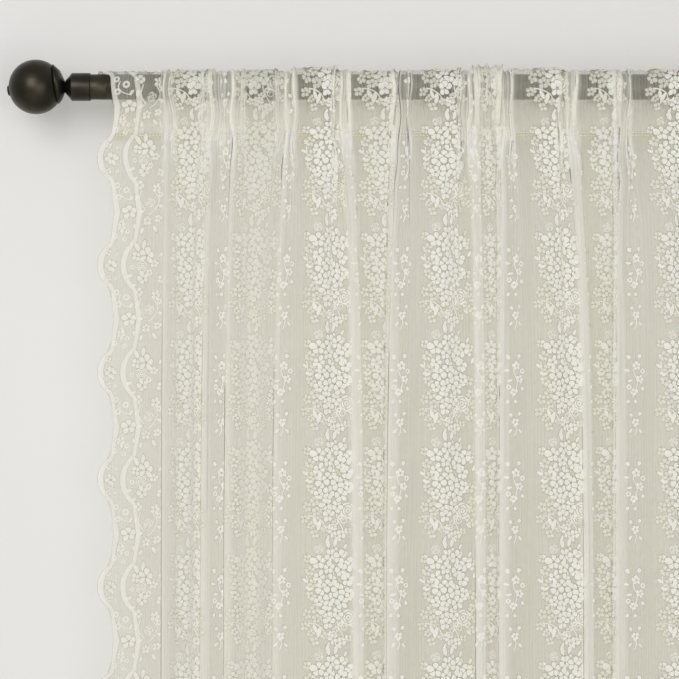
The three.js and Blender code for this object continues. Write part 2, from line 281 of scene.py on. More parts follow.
def hang(u, v, lift=0.0):
    # u across the flat cloth, v down it from the front stitch line (negative round the sleeve), in mm;
    # lift stands off the cloth's front. Gives points in metres
    u, v = np.asarray(u, float), np.asarray(v, float)
    lift = np.broadcast_to(np.asarray(lift, float), u.shape)
    along = -v
    seam = along > sleeveLength
    drop = np.where(seam, along - sleeveLength, np.maximum(v, 0))
    x, out, tilt = (lookUp(table, u, drop) for table in (planX, planOut, planTilt))
    x = x + sideways(u, v)
    raised = lift + unevenness(u, drop) * (v > 0)
    hanging = np.column_stack([x - raised * np.sin(tilt), -out - raised * np.cos(tilt),
                               drape["stitchZ"] - drop])
    hanging[seam, 1] += drape["seamBehind"] + 2 * lift[seam]
    section, normal = sleeveSection(np.clip(along, 0, sleeveLength))
    turnBack = 1 - 2 * smooth((along - sleeveStraight - sleeveArc) / sleeveStraight)
    clear = smooth(np.minimum(along, sleeveLength - along) / drape["clearOfRod"])
    offset = out * turnBack * (1 - clear) + np.abs(out) * clear + lift * np.cos(tilt)
    behind = smooth((along - sleeveStraight - sleeveArc) / sleeveStraight) * drape["seamBehind"]
    sleeve = np.column_stack([x - lift * np.sin(tilt), section + normal * offset[:, None]])
    sleeve[:, 1] += behind
    onSleeve = (v < 0) & ~seam
    hanging[onSleeve] = sleeve[onSleeve]
    return hanging * mm


def fromLobe(drop):
    # distance down the cloth from the nearest lobe's middle
    place = (drop - drape["stitchZ"] + edge["firstBulgeZ"]) / edge["pitch"]
    return np.abs(place - np.round(place)) * edge["pitch"]


def lobed(away, radius, half, slant):
    # round lobe that runs out into a straight slant
    near = np.minimum(away, half)
    return radius - np.sqrt(radius ** 2 - near ** 2) + slant * np.maximum(away - half, 0)


def scallop(drop):
    # how far the edge stands in from the outermost line of its lobes
    return lobed(fromLobe(drop), edge["lobeRadius"], edge["lobeHalf"], edge["slant"])


# Mesh and material helpers

def addMesh(name, points, faces, material, uv=None, marks=None, flat=False, lean=None):
    mesh = bpy.data.meshes.new(name)
    faces = np.asarray(faces, np.int32)
    sides = faces.shape[1]
    mesh.vertices.add(len(points))
    mesh.vertices.foreach_set("co", np.asarray(points, np.float32).ravel())
    mesh.loops.add(faces.size)
    mesh.loops.foreach_set("vertex_index", faces.ravel())
    mesh.polygons.add(len(faces))
    mesh.polygons.foreach_set("loop_start", np.arange(0, faces.size, sides, dtype=np.int32))
    mesh.polygons.foreach_set("loop_total", np.full(len(faces), sides, np.int32))
    mesh.update(calc_edges=True)
    if uv is not None:
        layer = mesh.uv_layers.new(name="cloth")
        layer.data.foreach_set("uv", np.asarray(uv, np.float32)[faces.ravel()].ravel())
    for markName, values in (marks or {}).items():
        mark = mesh.attributes.new(markName, "FLOAT", "POINT")
        mark.data.foreach_set("value", np.asarray(values, np.float32))
    mesh.polygons.foreach_set("use_smooth", np.full(len(faces), not flat))
    mesh.materials.append(material)
    mesh.validate()
    if lean is not None:
        own = np.empty(len(points) * 3, np.float32)
        mesh.vertices.foreach_get("normal", own)
        normals = own.reshape(-1, 3) + lean
        normals /= np.maximum(np.linalg.norm(normals, axis=1), 0.001)[:, None]
        mesh.normals_split_custom_set_from_vertices(normals)
    piece = bpy.data.objects.new(name, mesh)
    bpy.context.scene.collection.objects.link(piece)
    return piece


def startMaterial(name):
    material = bpy.data.materials.new(name)
    material.use_nodes = True
    tree = material.node_tree
    shader = tree.nodes["Principled BSDF"]
    return material, tree, shader


def addNode(tree, kind, settings=None, **inputs):
    node = tree.nodes.new(kind)
    for key, value in (settings or {}).items():
        setattr(node, key, value)
    for key, value in inputs.items():
        socket = node.inputs[int(key[1:])] if key[0] == "i" and key[1:].isdigit() else node.inputs[key]
        if isinstance(value, bpy.types.NodeSocket):
            tree.links.new(value, socket)
        else:
            socket.default_value = value
    return node


def mathNode(tree, operation, first, second=None, third=None, clamp=False):
    inputs = {f"i{k}": value for k, value in enumerate((first, second, third)) if value is not None}
    return addNode(tree, "ShaderNodeMath", {"operation": operation, "use_clamp": clamp}, **inputs).outputs[0]


def startGroup(name, inputs, outputs):
    tree = bpy.data.node_groups.new(name, "ShaderNodeTree")
    for label, kind in inputs:
        tree.interface.new_socket(label, in_out="INPUT", socket_type=kind)
    for label, kind in outputs:
        tree.interface.new_socket(label, in_out="OUTPUT", socket_type=kind)
    return tree, tree.nodes.new("NodeGroupInput"), tree.nodes.new("NodeGroupOutput")


def useGroup(tree, group, **inputs):
    node = tree.nodes.new("ShaderNodeGroup")
    node.node_tree = group
    for key, value in inputs.items():
        if isinstance(value, bpy.types.NodeSocket):
            tree.links.new(value, node.inputs[key])
        else:
            node.inputs[key].default_value = value
    return node.outputs


def colour(red, green, blue):
    # screen colour, 0 to 255, to the linear values that nodes take
    def linear(value):
        value /= 255
        return value / 12.92 if value <= 0.04045 else ((value + 0.055) / 1.055) ** 2.4
    return (linear(red), linear(green), linear(blue), 1)


# Shared effects

pattern = {"wanderStretch": (60, 22, 1), "streakStretch": (420, 9, 1), "warpShare": 0.08,
           "streakHeight": 0.6, "cellHeight": 0.4, "ribShare": 0.35, "mottleShare": 0.65, "ribBend": 4.0,
           "wanderDetail": 2.0, "streakDetail": 3.0, "ribDetail": 1.0, "mottleDetail": 3.0,
           "slowDetail": 2.0, "fineDetail": 4.0}


def stretchedNoise(tree, place, kind):
    stretched = addNode(tree, "ShaderNodeMapping", Vector=place, Scale=pattern[kind + "Stretch"])
    noise = addNode(tree, "ShaderNodeTexNoise", {"noise_dimensions": "2D"}, Vector=stretched.outputs[0],
                    Scale=1.0, Detail=pattern[kind + "Detail"])
    return noise.outputs["Fac"]


def makeNetGroup():
    # fine warp-knit net: small open cells, and warp threads that wander a little
    tree, given, result = startGroup("warpNet", [
        ("Cloth", "NodeSocketVector"), ("Cells", "NodeSocketFloat"), ("Threads", "NodeSocketFloat"),
        ("Wander", "NodeSocketFloat")],
        [("Holes", "NodeSocketFloat"), ("Streaks", "NodeSocketFloat"), ("Height", "NodeSocketFloat")])
    place = addNode(tree, "ShaderNodeSeparateXYZ", Vector=given.outputs["Cloth"])
    wander = stretchedNoise(tree, given.outputs["Cloth"], "wander")
    swing = mathNode(tree, "SUBTRACT", wander, 0.5)
    shifted = mathNode(tree, "MULTIPLY_ADD", swing, given.outputs["Wander"], place.outputs["X"])
    turns = mathNode(tree, "MULTIPLY", given.outputs["Threads"], 2 * math.pi)
    warp = mathNode(tree, "SINE", mathNode(tree, "MULTIPLY", shifted, turns))
    uneven = stretchedNoise(tree, given.outputs["Cloth"], "streak")
    streaks = mathNode(tree, "MULTIPLY_ADD", warp, pattern["warpShare"], uneven)
    cellTurns = mathNode(tree, "MULTIPLY", given.outputs["Cells"], 2 * math.pi)
    across = mathNode(tree, "SINE", mathNode(tree, "MULTIPLY", shifted, cellTurns))
    down = mathNode(tree, "SINE", mathNode(tree, "MULTIPLY", place.outputs["Y"], cellTurns))
    cell = mathNode(tree, "MULTIPLY", across, down)
    holes = mathNode(tree, "MULTIPLY_ADD", cell, 0.5, 0.5, clamp=True)
    height = mathNode(tree, "MULTIPLY_ADD", streaks, pattern["streakHeight"],
                      mathNode(tree, "MULTIPLY", cell, pattern["cellHeight"]))
    tree.links.new(holes, result.inputs["Holes"])
    tree.links.new(streaks, result.inputs["Streaks"])
    tree.links.new(height, result.inputs["Height"])
    return tree


def makeYarnGroup():
    # closely worked yarn of the motifs: fine ribs with a soft unevenness
    tree, given, result = startGroup("workedYarn", [
        ("Cloth", "NodeSocketVector"), ("Ribs", "NodeSocketFloat"), ("Mottle", "NodeSocketFloat")],
        [("Shade", "NodeSocketFloat"), ("Height", "NodeSocketFloat")])
    ribs = addNode(tree, "ShaderNodeTexWave", {"wave_type": "BANDS", "bands_direction": "DIAGONAL"},
                   Vector=given.outputs["Cloth"], Scale=given.outputs["Ribs"],
                   Distortion=pattern["ribBend"], Detail=pattern["ribDetail"])
    mottle = addNode(tree, "ShaderNodeTexNoise", {"noise_dimensions": "2D"}, Vector=given.outputs["Cloth"],
                     Scale=given.outputs["Mottle"], Detail=pattern["mottleDetail"])
    shade = mathNode(tree, "MULTIPLY_ADD", ribs.outputs["Fac"], pattern["ribShare"],
                     mathNode(tree, "MULTIPLY", mottle.outputs["Fac"], pattern["mottleShare"]), clamp=True)
    tree.links.new(shade, result.inputs["Shade"])
    tree.links.new(ribs.outputs["Fac"], result.inputs["Height"])
    return tree


def makeToneGroup():
    # slow and fine changes of tone over a surface
    tree, given, result = startGroup("slowTone", [
        ("Size", "NodeSocketFloat"), ("Fine", "NodeSocketFloat")],
        [("Slow", "NodeSocketFloat"), ("Fine", "NodeSocketFloat")])
    place = tree.nodes.new("ShaderNodeTexCoord").outputs["Object"]
    slow = addNode(tree, "ShaderNodeTexNoise", Vector=place, Scale=given.outputs["Size"],
                   Detail=pattern["slowDetail"])
    fine = addNode(tree, "ShaderNodeTexNoise", Vector=place, Scale=given.outputs["Fine"],
                   Detail=pattern["fineDetail"])
    tree.links.new(slow.outputs["Fac"], result.inputs["Slow"])
    tree.links.new(fine.outputs["Fac"], result.inputs["Fine"])
    return tree


netGroup, yarnGroup, toneGroup = makeNetGroup(), makeYarnGroup(), makeToneGroup()


def ramp(tree, factor, *stops):
    node = addNode(tree, "ShaderNodeValToRGB", Fac=factor)
    elements = node.color_ramp.elements
    while len(elements) < len(stops):
        elements.new(0.5)
    for element, (position, shade) in zip(elements, stops):
        element.position, element.color = position, shade
    return node.outputs["Color"]


def mixColour(tree, factor, first, second, blend="MIX"):
    node = tree.nodes.new("ShaderNodeMix")
    node.data_type, node.blend_type = "RGBA", blend
    for socket, value in ((node.inputs[0], factor), (node.inputs[6], first), (node.inputs[7], second)):
        if isinstance(value, bpy.types.NodeSocket):
            tree.links.new(value, socket)
        else:
            socket.default_value = value
    return node.outputs[2]


laceLook = {
    # the ridge tone is painted highlight on cloth folded up in layers
    "net": colour(221, 219, 202), "netWarm": colour(210, 208, 186), "ridgeHighlight": colour(243, 242, 236),
    "netOpen": 0.42, "netSteep": 0.82, "netStreaks": 0.25, "netCells": 0.06, "hemCover": 0.3,
    # the sleeve tone is painted light: the sleeve's cloth is drawn lighter than the hanging net
    "sleeveCover": -0.27, "sleevePaintedLight": colour(252, 250, 236),
    "sleeveLightMask": -2.2,     # turns the sleeve's negative cover into the share of painted light on the sleeve
    "gatherFade": 45,
    "ribGain": 1.7, "bunchGain": 2.0, "ribLeast": 0.5, "ribMost": 1.7,
    "netThrough": 0.25, "workThrough": 0.1,     # share of the cloth that passes light on
    "netSoftness": 2.0, "workSoftness": 0.6,     # how far the shading normals lean to the curtain's face
    "leanTurn": 20, "outlineFade": 0.15, "shadowEase": 0.65,
    "netFinish": (0.85, 0.25, 0.2, 0.2),     # roughness, sheen, specular and bump
    "workFinish": (0.7, 0.2, 0.25, 0.3), "bumpDepth": 0.3,
    "cells": 1150.0, "threads": 330.0, "wander": 0.004, "ribs": 260.0, "mottle": 260.0,
}
# Worked yarn: its bright and shaded tones, its outline tone (painted shade at the raised yarn's edge), how
# much it and its outline cover, and how near the rim the outline starts and is full
workLooks = {
    "laceMotif": ((255, 254, 249), (234, 232, 219), (138, 135, 110), 0.93, 0.85, 0.8, 0.92),
    "laceSoft": ((247, 246, 238), (232, 231, 220), (172, 168, 144), 0.86, 0.72, 0.8, 0.92),
    "laceFaint": ((240, 239, 231), (227, 226, 214), (190, 187, 165), 0.76, 0.6, 0.8, 0.92),
    "laceThin": ((246, 244, 234), (234, 232, 218), (166, 162, 138), 0.7, 0.6, 0.74, 0.88),
    "laceBand": ((250, 249, 243), (243, 241, 232), (190, 187, 168), 0.62, 0.65, 0.76, 0.9),
    "laceEdge": ((251, 250, 244), (239, 237, 226), (172, 169, 147), 0.74, 0.7, 0.78, 0.9),
}


def setFinish(tree, shader, finish, height):
    # the constant values of a cloth's shader, and its bump
    roughness, sheen, specular, strength = finish
    shader.inputs["Roughness"].default_value = roughness
    shader.inputs["Sheen Weight"].default_value = sheen
    shader.inputs["Specular IOR Level"].default_value = specular
    bump = addNode(tree, "ShaderNodeBump", Height=height, Strength=strength,
                   Distance=laceLook["bumpDepth"] * mm)
    tree.links.new(bump.outputs[0], shader.inputs["Normal"])
    return bump


def clothShader(tree, shader, tone, cover, through):
    # yarn that reflects and passes light, open where there is no yarn; it casts a lighter shadow
    behind = addNode(tree, "ShaderNodeBsdfTranslucent", Color=tone)
    yarn = addNode(tree, "ShaderNodeMixShader", i0=through)
    tree.links.new(shader.outputs[0], yarn.inputs[1])
    tree.links.new(behind.outputs[0], yarn.inputs[2])
    gap = tree.nodes.new("ShaderNodeBsdfTransparent")
    shadow = tree.nodes.new("ShaderNodeLightPath").outputs["Is Shadow Ray"]
    lighter = mathNode(tree, "MULTIPLY_ADD", shadow, -laceLook["shadowEase"], 1.0)
    whole = addNode(tree, "ShaderNodeMixShader", i0=mathNode(tree, "MULTIPLY", cover, lighter))
    tree.links.new(gap.outputs[0], whole.inputs[1])
    tree.links.new(yarn.outputs[0], whole.inputs[2])
    tree.links.new(whole.outputs[0], tree.nodes["Material Output"].inputs["Surface"])
    return behind


def makeNetMaterial():
    material, tree, shader = startMaterial("laceNet")
    cloth = addNode(tree, "ShaderNodeUVMap", {"uv_map": "cloth"}).outputs["UV"]
    net = useGroup(tree, netGroup, Cloth=cloth, Cells=laceLook["cells"],
                   Threads=laceLook["threads"], Wander=laceLook["wander"])
    steep = addNode(tree, "ShaderNodeAttribute", {"attribute_name": "steep"}).outputs["Fac"]
    doubled = addNode(tree, "ShaderNodeAttribute", {"attribute_name": "turned"}).outputs["Fac"]
    tone = mixColour(tree, net["Streaks"], laceLook["netWarm"], laceLook["net"])
    # painted highlight: where the cloth is folded up in layers, and on the gathers' ribs over the rod, its
    # tone is drawn lighter
    tone = mixColour(tree, steep, tone, laceLook["ridgeHighlight"])
    # painted light: the cloth round the rod, with the dark rod behind it, is drawn in the sleeve's lighter
    # tone
    onSleeve = mathNode(tree, "MULTIPLY", doubled, laceLook["sleeveLightMask"], clamp=True)
    tone = mixColour(tree, onSleeve, tone, laceLook["sleevePaintedLight"])
    tree.links.new(tone, shader.inputs["Base Color"])
    cover = mathNode(tree, "MULTIPLY_ADD", mathNode(tree, "SUBTRACT", net["Streaks"], 0.5),
                     laceLook["netStreaks"], laceLook["netOpen"])
    cover = mathNode(tree, "MULTIPLY_ADD", mathNode(tree, "SUBTRACT", net["Holes"], 0.5),
                     laceLook["netCells"], cover)
    cover = mathNode(tree, "MULTIPLY_ADD", steep, laceLook["netSteep"] - laceLook["netOpen"], cover)
    cover = mathNode(tree, "MULTIPLY_ADD", doubled, laceLook["hemCover"], cover, clamp=True)
    behind = clothShader(tree, shader, tone, cover, laceLook["netThrough"])
    bump = setFinish(tree, shader, laceLook["netFinish"], net["Height"])
    tree.links.new(bump.outputs[0], behind.inputs["Normal"])
    return material


def makeWorkMaterial(name, bright, shaded, rimShadeTone, cover, edgeCover, edgeFrom, edgeFull):
    # motifs, bands and stitches: worked yarn with a thin outline, more open than the yarn and drawn darker as
    # painted shade
    material, tree, shader = startMaterial(name)
    cloth = addNode(tree, "ShaderNodeUVMap", {"uv_map": "cloth"}).outputs["UV"]
    yarn = useGroup(tree, yarnGroup, Cloth=cloth, Ribs=laceLook["ribs"], Mottle=laceLook["mottle"])
    rim = addNode(tree, "ShaderNodeAttribute", {"attribute_name": "rim"}).outputs["Fac"]
    outline = addNode(tree, "ShaderNodeMapRange", {"interpolation_type": "SMOOTHSTEP"}, i0=rim,
                      i1=edgeFrom, i2=edgeFull).outputs[0]
    tone = mixColour(tree, yarn["Shade"], colour(*shaded), colour(*bright))
    # painted shade: the rim ring is drawn in the darker outline tone
    tone = mixColour(tree, outline, tone, colour(*rimShadeTone))
    tree.links.new(tone, shader.inputs["Base Color"])
    alpha = addNode(tree, "ShaderNodeMapRange", i0=outline, i3=cover, i4=edgeCover).outputs[0]
    clothShader(tree, shader, tone, alpha, laceLook["workThrough"])
    setFinish(tree, shader, laceLook["workFinish"], yarn["Height"])
    return material


netMaterial = makeNetMaterial()
motifMaterial, softMaterial, faintMaterial, thinMaterial, bandMaterial, edgeMaterial = (
    makeWorkMaterial(name, *look) for name, look in workLooks.items())
print("materials made")


# The curtain's sheet

def steepness(u, v):
    # how closely the cloth is folded up, from 0 to 1: its layers where it hangs, its ribs on the rod; it
    # thickens the net's cover there and lightens its tone as painted highlight
    drop = np.maximum(v, 0)
    layers = lookUp(planLayers, u, drop)
    ribs = lookUp(planRibs, u, drop) * laceLook["ribGain"] + layers * laceLook["bunchGain"]
    hanging = smooth(v / laceLook["gatherFade"])
    ribs = np.clip(ribs - laceLook["ribLeast"], 0, laceLook["ribMost"])
    return ribs * (1 - hanging) + layers * hanging


def softLean(u, v, softness):
    # what is added to each normal, so that the folds' sides are shaded softly
    along = np.clip(-v, 0, sleeveLength)
    _, section = sleeveSection(along)
    facing = np.column_stack([np.zeros(len(u)), section])
    facing[v >= 0] = (0, -1, 0)
    share = np.tanh(laceLook["leanTurn"] * np.cos(lookUp(planTilt, u, np.maximum(v, 0))))
    return facing * (softness * share)[:, None]


sheet = {"columns": 660, "sleeveRows": 34, "topRows": 24, "topDrop": 140, "rowsPerScallop": 6,
         "edgeInset": 2.5, "edgeBlend": 46, "hemTurn": 25,
         "lastGap": 3}     # least gap between the hem and the row of points above it


def makeSheet():
    scallopStep = edge["pitch"] / sheet["rowsPerScallop"]
    firstBulge = drape["stitchZ"] - edge["firstBulgeZ"]
    first = firstBulge + scallopStep * math.ceil((sheet["topDrop"] - firstBulge) / scallopStep)
    rows = np.concatenate([
        [clothTop, clothTop + drape["seamTurn"] / 2],
        np.linspace(-sleeveLength, 0, sheet["sleeveRows"] + 1),
        np.linspace(0, first, sheet["topRows"] + 1)[1:],
        np.arange(first + scallopStep, dropBelowStitch - sheet["lastGap"], scallopStep), [dropBelowStitch]])
    across = np.linspace(0, clothWidth, sheet["columns"] + 1)
    u, v = np.meshgrid(across, rows)
    inset = scallop(v) + sheet["edgeInset"]
    nearLeft = 1 - smooth(u / sheet["edgeBlend"])
    nearRight = 1 - smooth((clothWidth - u) / sheet["edgeBlend"])
    u = u + inset * (nearLeft - nearRight)
    u, v = u.ravel(), v.ravel()
    points = hang(u, v)
    steep = steepness(u, v)
    sewn = (v > dropBelowStitch - sheet["hemTurn"]) | (v < -sleeveLength)
    turned = np.where(sewn, 1.0, np.where(v < 0, laceLook["sleeveCover"], 0.0))
    wide = len(across)
    start = (np.arange(len(rows) - 1)[:, None] * wide + np.arange(wide - 1)[None, :]).ravel()
    faces = np.column_stack([start, start + wide, start + wide + 1, start + 1])
    piece = addMesh("curtain_lace", points, faces, netMaterial,
                    uv=np.column_stack([u, v]) * mm, marks={"steep": steep, "turned": turned},
                    lean=softLean(u, v, laceLook["netSoftness"]))
    print("sheet", len(faces) * 2, "triangles")
    return piece


curtain = makeSheet()


# Lace motifs, drawn flat in mm with y upwards, then hung with the cloth.
# A drawing is points, how far each stands off the cloth, how near it is to the rim, and triangles

def drawing(points, lift, rim, faces):
    return {"points": np.asarray(points, float), "lift": np.asarray(lift, float),
            "rim": np.asarray(rim, float), "faces": np.asarray(faces, int).reshape(-1, 3)}


def joined(drawings):
    starts = np.cumsum([0] + [len(d["points"]) for d in drawings[:-1]])
    return drawing(np.concatenate([d["points"] for d in drawings]),
                   np.concatenate([d["lift"] for d in drawings]),
                   np.concatenate([d["rim"] for d in drawings]),
                   np.concatenate([d["faces"] + s for d, s in zip(drawings, starts)]))


def placed(source, x, y, turn=0, mirror=False):
    angle = math.radians(turn)
    points = source["points"] * [-1 if mirror else 1, 1]
    spun = np.column_stack([points[:, 0] * math.cos(angle) - points[:, 1] * math.sin(angle),
                            points[:, 0] * math.sin(angle) + points[:, 1] * math.cos(angle)])
    faces = source["faces"][:, ::-1] if mirror else source["faces"]
    return drawing(spun + [x, y], source["lift"], source["rim"], faces)


worked = {"petalSides": 8, "rimLift": 0.1, "crownLift": 0.4, "ribbonLift": 0.45, "petalSeed": 4,
          "petalRange": (0.8, 1.18), "petalTurn": 9, "layerLift": 0.35, "layers": 3, "eyelet": 0.66,
          "offCloth": 0.25, "inside": 1, "bowFrom": 0.12, "bowOver": 0.76, "curlIn": 0.78, "curlThin": 0.4,
          "roseHeart": (0.24, 0.22, 7), "roseYarn": 0.3, "roseSteps": 5,
          "roseBows": ((0.55, 105, (20, 140, 260)), (0.88, 84, (-20, 70, 160, 250)))}


def raised(source, amount):
    return drawing(source["points"], source["lift"] + amount, source["rim"], source["faces"])


def layered(drawings):
    # neighbours stand at different heights, so that each keeps its outline
    return [raised(source, worked["layerLift"] * (k % worked["layers"])) for k, source in enumerate(drawings)]


def petal(length, width, broad=0.28, point=0.0):
    # domed patch along x from its narrow end at the origin
    sides = worked["petalSides"]
    t = (np.arange(sides) + 0.5) * 2 * math.pi / sides
    rim = np.column_stack([length / 2 * (1 + np.cos(t)),
                           width / 2 * np.sin(t) * (1 + broad * np.cos(t)) * np.abs(np.sin(t)) ** point])
    faces = [(i, (i + 1) % sides, sides) for i in range(sides)]
    return drawing(np.vstack([rim, rim.mean(0)]), [worked["rimLift"]] * sides + [worked["crownLift"]],
                   [1] * sides + [0], faces)


def ribbon(path, width, closed=False):
    # narrow raised line of yarn; width may be one number or one for each point
    path = np.asarray(path, float)
    before = np.roll(path, 1, 0) if closed else np.vstack([path[:1], path[:-1]])
    after = np.roll(path, -1, 0) if closed else np.vstack([path[1:], path[-1:]])
    way = after - before
    way /= np.linalg.norm(way, axis=1)[:, None]
    side = np.column_stack([-way[:, 1], way[:, 0]]) * (np.broadcast_to(width, len(path)) / 2)[:, None]
    count = len(path)
    points = np.vstack([path + side, path, path - side])
    lift = [worked["rimLift"]] * count + [worked["ribbonLift"]] * count + [worked["rimLift"]] * count
    rim = [1] * count + [0] * count + [1] * count
    faces = []
    for i in range(count if closed else count - 1):
        j = (i + 1) % count
        for low, high in ((0, count), (count, 2 * count)):
            faces += [(low + j, low + i, high + i), (low + j, high + i, high + j)]
    return drawing(points, lift, rim, faces)


def curveThrough(corners, steps=4):
    # smooth line through a few corners
    corners = [np.asarray(c, float) for c in corners]
    ends = [2 * corners[0] - corners[1]] + corners + [2 * corners[-1] - corners[-2]]
    line = []
    for a, b, c, d in zip(ends, ends[1:], ends[2:], ends[3:]):
        for k in range(steps):
            t = k / steps
            line.append(0.5 * (2 * b + (c - a) * t + (2 * a - 5 * b + 4 * c - d) * t ** 2
                               + (3 * b - a - 3 * c + d) * t ** 3))
    return np.array(line + [corners[-1]])


def bow(radius, start, sweep, width, steps):
    # crescent round the origin, thickest in its middle
    angle = np.radians(start + sweep * np.arange(steps + 1) / steps)
    taper = np.sin(np.pi * (worked["bowFrom"] + worked["bowOver"] * np.arange(steps + 1) / steps))
    return ribbon(np.column_stack([np.cos(angle), np.sin(angle)]) * radius, width * taper)


def ring(radius, width, sides):
    angle = np.arange(sides) * 2 * math.pi / sides
    return ribbon(np.column_stack([np.cos(angle), np.sin(angle)]) * radius, width, closed=True)


petalRandom = random.Random(worked["petalSeed"])


def daisy(radius, petals=5, hole=0.04, plump=0.82):
    # petals of slightly uneven size round a small middle; plump is a petal's width when there are five
    parts = []
    for k in range(petals):
        long, wide = (petalRandom.uniform(*worked["petalRange"]) for _ in range(2))
        shape = petal(radius * (1 - hole) * long, radius * plump * 5 / petals * wide)
        turn = 360 * k / petals + petalRandom.uniform(-1, 1) * worked["petalTurn"]
        step = worked["layerLift"] * (k * 2 % petals) / petals
        parts.append(raised(placed(placed(shape, radius * hole, 0), 0, 0, turn=turn), step))
    return joined(parts)


def rose(radius):
    heart, heartYarn, sides = worked["roseHeart"]
    parts = [ring(radius * heart, radius * heartYarn, sides)]
    for out, sweep, starts in worked["roseBows"]:
        parts += [bow(radius * out, start, sweep, radius * worked["roseYarn"], worked["roseSteps"])
                  for start in starts]
    return joined(parts)


def curl(radius, turns=1.5, width=1.5, steps=14):
    t = np.arange(steps + 1) / steps
    angle, reach = 2 * math.pi * turns * t, radius * (1 - worked["curlIn"] * t)
    path = np.column_stack([np.cos(angle), np.sin(angle)]) * reach[:, None]
    return ribbon(path, width * (1 - worked["curlThin"] * t))


def leaf(length, width):
    return petal(length, width, broad=0.1, point=0.7)


def grown(make, rows):
    # one motif for each row: x, y, what its own function takes, turn
    return [placed(make(*row[2:-1]), row[0], row[1], row[-1]) for row in rows]


def eyelets(look):
    return [placed(ring(radius * worked["eyelet"], radius * look["ringYarn"], look["ringSides"]), x, y)
            for x, y, radius in look["rings"]]


def stems(look):
    return [ribbon(curveThrough(stem), look["stemWidth"]) for stem in look["stems"]]


# Bouquet: daisies (x, y, radius, petals, turn), roses (x, y, radius, turn), rings (x, y, radius),
# discs and leaves (x, y of the stalk end, length, width, turn), curls (x, y, radius, turns, turn)
# and stems. thinDaisies are of thinner yarn
bouquet = {
    "flowerSize": 1.14, "stemWidth": 1.3, "ringYarn": 0.72, "ringSides": 9,
    "daisies": [
        (-14, 30, 8, 5, 20), (-2, 36, 6.2, 5, 50), (8.5, 34.5, 6.6, 5, 5), (20, 28, 7.4, 5, 40),
        (-3.5, 24, 6.4, 5, 20), (9, 21.5, 6.8, 5, 30), (-14, 15, 6.4, 5, 0), (-1, 11, 6.8, 5, 40),
        (16.5, 11.5, 7.2, 5, 15), (-10.5, 3, 7, 5, 55), (6, 1.5, 7, 5, 35), (18.5, -2.5, 6, 5, 60),
        (-3, -8.5, 6.6, 5, 70), (-14, -10, 5.6, 5, 10), (9, -11, 7.2, 5, 25), (-6, -20, 7.4, 5, 45),
        (5.5, -22, 6, 5, 60), (-4, -31, 6.4, 5, 15), (1, -47, 5.4, 5, 40), (10, -50, 4.6, 4, 50),
    ],
    "thinDaisies": [
        (-23, 21, 5.6, 5, 20), (-19.5, 8, 5.4, 5, 50), (-22, -4, 5.6, 5, 0), (27, 29, 5, 4, 30),
        (-18, -16, 6, 5, 30), (25, -4, 5.6, 5, 20), (24, -36, 5.2, 4, 0), (-16, -27, 5.2, 5, 10),
        (-26, 33, 5, 4, 30), (-18, -49, 4.8, 4, 60), (-26, -22, 5.6, 5, 40), (-28, -34, 5.4, 5, 10),
        (27, -17, 5.4, 5, 50), (30, -28, 5.4, 5, 20), (31, -41, 5, 4, 0), (-8, -44, 5.2, 5, 30),
        (17, -47, 5, 4, 45), (-22, -41, 4.6, 5, 70), (3, -39, 4.8, 5, 0), (24, -25, 4.6, 5, 60),
        (-10, -26, 4.4, 5, 20),
    ],
    "roses": [(17, -26.5, 8.2, 0), (-14, 42.5, 4.6, 40)],
    "rings": [
        (13.5, 37, 3.4), (-6, -33, 3.2), (14.5, 5.5, 2.2), (-14, 12.5, 2.2), (9, -33, 2.8), (5, -52, 2.6),
    ],
    "discs": [
        (23, 22, 6, 5, 10), (3, 40, 5, 4, 60), (-24, 18, 5.4, 4.4, 140), (-23, 5, 5, 4.2, 200),
        (15, 21, 4.6, 4, 260), (-6, 13, 4.4, 3.8, 300), (17, -5, 5, 4.2, 250), (-8, -17.5, 4.6, 4, 100),
        (1, -6, 4.2, 3.6, 310), (-1, 32, 4, 3.4, 80), (-14, -52, 4.6, 4, 160), (11, -46, 5, 4, 300),
    ],
    "leaves": [
        (-3, 42, 13, 6, 104), (2, 43, 12, 5.4, 74), (-19, 30, 11, 4.6, 132), (-24, 9, 9, 4, 150),
        (-18, 5, 9, 4, 205), (27, 12, 9, 4, 60), (-16, -5, 9, 3.6, 200), (-12, -33, 15, 6, -104),
        (-20, -31, 12, 5, -70), (14, -42, 9, 4, -80), (20, -38, 9, 4, -45), (-2, -38, 9, 4, -100),
        (23, 33, 8, 3.6, 70), (12, 41, 8, 3.6, 60), (6, -50, 9, 4.4, -70), (-3, -50, 8, 4, -110),
    ],
    "curls": [(13, -36, 4.6, 1.4, 60), (4, -37, 3.6, 1.1, 200)],
    "stems": [
        [(9, -22), (10, -28), (15, -33), (24, -36)], [(-25, -31), (-18, -32), (-11, -36), (-7, -43)],
        [(5, -28), (6, -34), (9, -40), (12, -46)], [(-26, 16), (-25, 8), (-24, -6)],
        [(-13, -44), (-8, -44), (-2, -41), (3, -40)], [(0, 24), (2, 16), (-1, 8), (1, -2), (-2, -14)],
    ],
}


def bouquetDrawings():
    flowers = grown(lambda radius, petals: daisy(radius * bouquet["flowerSize"], petals), bouquet["daisies"])
    thin = grown(daisy, bouquet["thinDaisies"])
    roses = grown(rose, bouquet["roses"]) + eyelets(bouquet) + grown(petal, bouquet["discs"])
    greens = grown(leaf, bouquet["leaves"]) + grown(curl, bouquet["curls"]) + stems(bouquet)
    return joined(layered(flowers)), joined(thin), joined(roses), joined(greens)


